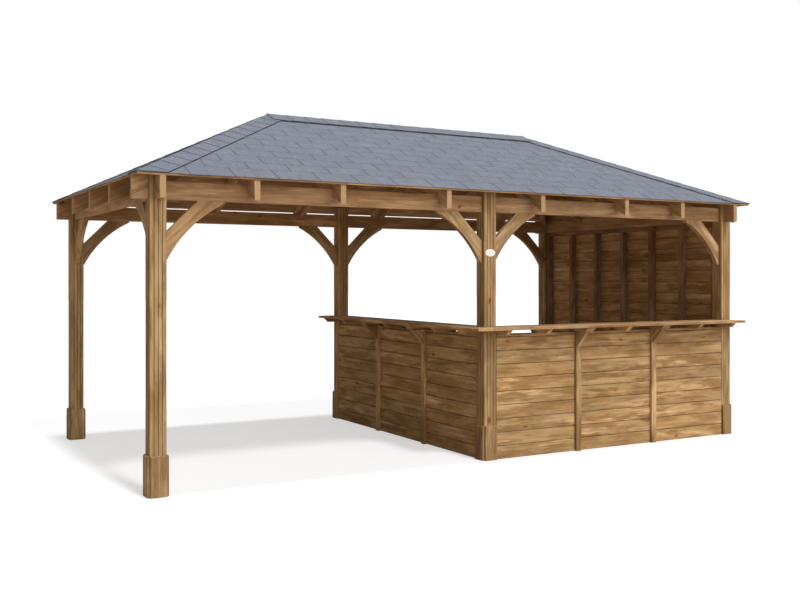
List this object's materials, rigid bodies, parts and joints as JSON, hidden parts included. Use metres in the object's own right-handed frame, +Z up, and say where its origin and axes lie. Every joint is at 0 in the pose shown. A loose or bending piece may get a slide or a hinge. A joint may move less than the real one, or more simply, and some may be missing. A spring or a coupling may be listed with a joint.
{
  "type": "timber garden bar with hipped roof",
  "caption": "Open-sided timber garden bar: fluted posts with braces, hipped shingle roof, low board walls with overhanging bar tops round one half and a full-height end wall.",
  "frame": {"origin": "centre of the whole plan, roof and bar top included, at ground level", "axes": "+X to the right along the front, +Y to the rear, +Z up"},
  "size_m": [6.062, 3.241, 3.041],
  "materials": {
    "post_timber": "pressure-treated softwood with a light brown stain, planed",
    "frame_timber": "pressure-treated softwood with a light brown stain, planed",
    "wall_board_timber": "pressure-treated softwood with a light brown stain, planed",
    "bar_board_timber": "pressure-treated softwood with a light brown stain, planed",
    "roof_board_timber": "pressure-treated softwood with a light brown stain, planed",
    "shingle_felt": "slate grey mineral grit on bitumen felt",
    "disc_enamel": "plain white, satin"
  },
  "bodies": {
    "root": {"bar_brackets": "frame_timber", "blank_disc": "disc_enamel", "cross_bar_joists": "frame_timber", "cross_bar_top": "bar_board_timber", "cross_wall": "wall_board_timber", "end_wall": "wall_board_timber", "front_bar_joists": "frame_timber", "front_bar_top": "bar_board_timber", "front_beams": "frame_timber", "front_braces": "frame_timber", "front_foot_boards": "post_timber", "front_hip_caps": "shingle_felt", "front_rafters": "frame_timber", "front_roof_boards": "roof_board_timber", "front_shingles": "shingle_felt", "front_wall": "wall_board_timber", "hip_rafters": "frame_timber", "left_end_beam": "frame_timber", "left_end_braces": "frame_timber", "left_rafters": "frame_timber", "left_roof_boards": "roof_board_timber", "left_shingles": "shingle_felt", "post_front_left": "post_timber", "post_front_middle": "post_timber", "post_front_right": "post_timber", "post_rear_left": "post_timber", "post_rear_middle": "post_timber", "post_rear_right": "post_timber", "rear_beams": "frame_timber", "rear_braces": "frame_timber", "rear_foot_boards": "post_timber", "rear_hip_caps": "shingle_felt", "rear_rafters": "frame_timber", "rear_roof_boards": "roof_board_timber", "rear_shingles": "shingle_felt", "ridge_board": "frame_timber", "ridge_cap": "shingle_felt", "right_end_beam": "frame_timber", "right_end_blocks": "frame_timber", "right_rafters": "frame_timber", "right_roof_boards": "roof_board_timber", "right_shingles": "shingle_felt", "wall_battens": "frame_timber", "wall_rails": "frame_timber", "wall_studs": "frame_timber"}
  },
  "joints": []
}
